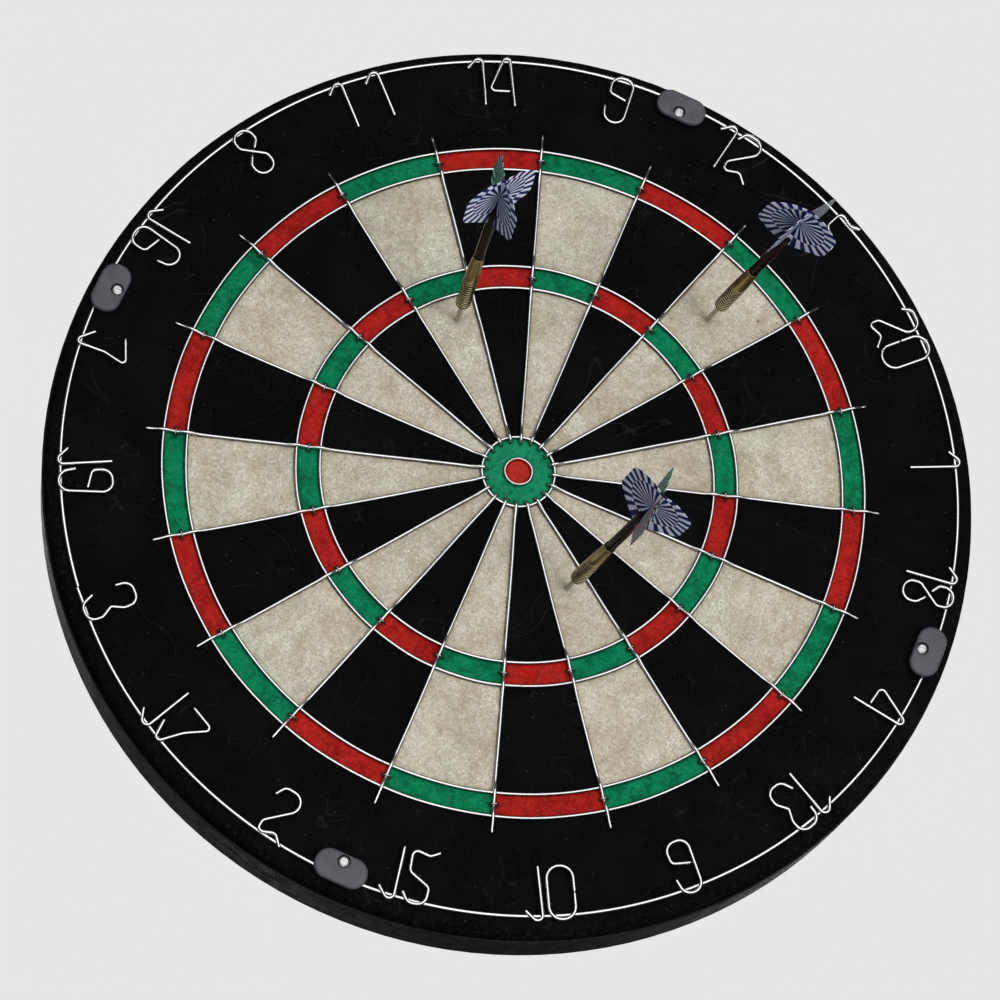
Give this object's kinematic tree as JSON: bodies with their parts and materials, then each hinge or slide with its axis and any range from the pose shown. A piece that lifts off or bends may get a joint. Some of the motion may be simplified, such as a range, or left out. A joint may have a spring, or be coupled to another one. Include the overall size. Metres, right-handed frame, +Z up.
{
  "type": "dartboard with darts",
  "caption": "Bristle dartboard on a wall yoke, with a wire spider, a loose number ring held by swing clips, and pull-out darts.",
  "frame": {"origin": "centre of the wall bracket's screw pattern, on the wall plane and on the board's own axis", "axes": "+Z up, +X to the right of a player, the face looks towards -Y and the wall is the plane y = 0; the 20 sector points to +Z"},
  "size_m": [0.4523, 0.1988, 0.4524],
  "materials": {
    "bracket_steel": "satin",
    "bush_steel": "satin",
    "zinc_screw": "satin",
    "bright_screw": "polished",
    "chipboard": "matte",
    "black_band": "satin",
    "sisal_black": "matte",
    "sisal_natural": "matte",
    "sisal_red": "matte",
    "sisal_green": "matte",
    "spider_wire": "satin",
    "bull_ring_steel": "satin",
    "staple_steel": "satin",
    "number_wire": "satin",
    "clip_plastic": "satin",
    "point_steel": "satin",
    "barrel_brass": "satin",
    "shaft_plastic": "gloss",
    "flight_film": "gloss",
    "bumper_rubber": "matte"
  },
  "bodies": {
    "wall_bracket": {"wall_bracket": "bracket_steel"},
    "hanger": {"hanger_bush": "bush_steel"},
    "board": {"hanging_screw": "zinc_screw", "backing_board": "chipboard", "steel_band": "black_band", "sisal_disc": "sisal_black", "black_segments": "sisal_black", "natural_segments": "sisal_natural", "red_segments": "sisal_red", "green_segments": "sisal_green", "radial_wires": "spider_wire", "double_outer_wire": "spider_wire", "double_inner_wire": "spider_wire", "treble_outer_wire": "spider_wire", "treble_inner_wire": "spider_wire", "outer_bull_wire": "spider_wire", "inner_bull_ring": "bull_ring_steel", "double_staples": "staple_steel", "treble_staples": "staple_steel", "clip_screws": "bright_screw", "bumpers": "bumper_rubber", "bumper_screws": "zinc_screw"},
    "number_ring": {"number_hoop": "number_wire", "numeral_20": "number_wire", "numeral_1": "number_wire", "numeral_18": "number_wire", "numeral_4": "number_wire", "numeral_13": "number_wire", "numeral_6": "number_wire", "numeral_10": "number_wire", "numeral_15": "number_wire", "numeral_2": "number_wire", "numeral_17": "number_wire", "numeral_3": "number_wire", "numeral_19": "number_wire", "numeral_7": "number_wire", "numeral_16": "number_wire", "numeral_8": "number_wire", "numeral_11": "number_wire", "numeral_14": "number_wire", "numeral_9": "number_wire", "numeral_12": "number_wire", "numeral_5": "number_wire"},
    "clip_upper_right": {"clip_upper_right": "clip_plastic"},
    "clip_lower_right": {"clip_lower_right": "clip_plastic"},
    "clip_lower_left": {"clip_lower_left": "clip_plastic"},
    "clip_upper_left": {"clip_upper_left": "clip_plastic"},
    "dart_a": {"dart_a_point": "point_steel", "dart_a_barrel": "barrel_brass", "dart_a_shaft": "shaft_plastic", "dart_a_flight": "flight_film"},
    "dart_b": {"dart_b_point": "point_steel", "dart_b_barrel": "barrel_brass", "dart_b_shaft": "shaft_plastic", "dart_b_flight": "flight_film"},
    "dart_c": {"dart_c_point": "point_steel", "dart_c_barrel": "barrel_brass", "dart_c_shaft": "shaft_plastic", "dart_c_flight": "flight_film"}
  },
  "joints": [
    {"name": "lift_off", "type": "slide", "parent": "wall_bracket", "child": "hanger", "axis": [0, 0, 1], "range_m": [0, 0.03]},
    {"name": "board_turn", "type": "hinge", "parent": "hanger", "child": "board", "pos_m": [0, -0.01, 0], "axis": [0, 1, 0], "continuous": true},
    {"name": "number_ring_turn", "type": "hinge", "parent": "board", "child": "number_ring", "pos_m": [0, -0.049, 0], "axis": [0, 1, 0], "range_deg": [-2, 1.2]},
    {"name": "clip_upper_right_swing", "type": "hinge", "parent": "board", "child": "clip_upper_right", "pos_m": [0.15047, -0.049, 0.14735], "axis": [0, 1, 0], "range_deg": [0, 180]},
    {"name": "clip_lower_right_swing", "type": "hinge", "parent": "board", "child": "clip_lower_right", "pos_m": [0.14735, -0.049, -0.15047], "axis": [0, 1, 0], "range_deg": [0, 180]},
    {"name": "clip_lower_left_swing", "type": "hinge", "parent": "board", "child": "clip_lower_left", "pos_m": [-0.15047, -0.049, -0.14735], "axis": [0, 1, 0], "range_deg": [0, 180]},
    {"name": "clip_upper_left_swing", "type": "hinge", "parent": "board", "child": "clip_upper_left", "pos_m": [-0.14735, -0.049, 0.15047], "axis": [0, 1, 0], "range_deg": [0, 180]},
    {"name": "dart_a_pull", "type": "slide", "parent": "board", "child": "dart_a", "axis": [0.092, -0.9921, 0.0854], "range_m": [0, 0.04]},
    {"name": "dart_b_pull", "type": "slide", "parent": "board", "child": "dart_b", "axis": [-0.0592, -0.9969, 0.0523], "range_m": [0, 0.04]},
    {"name": "dart_c_pull", "type": "slide", "parent": "board", "child": "dart_c", "axis": [0.0605, -0.9889, 0.1357], "range_m": [0, 0.04]}
  ]
}
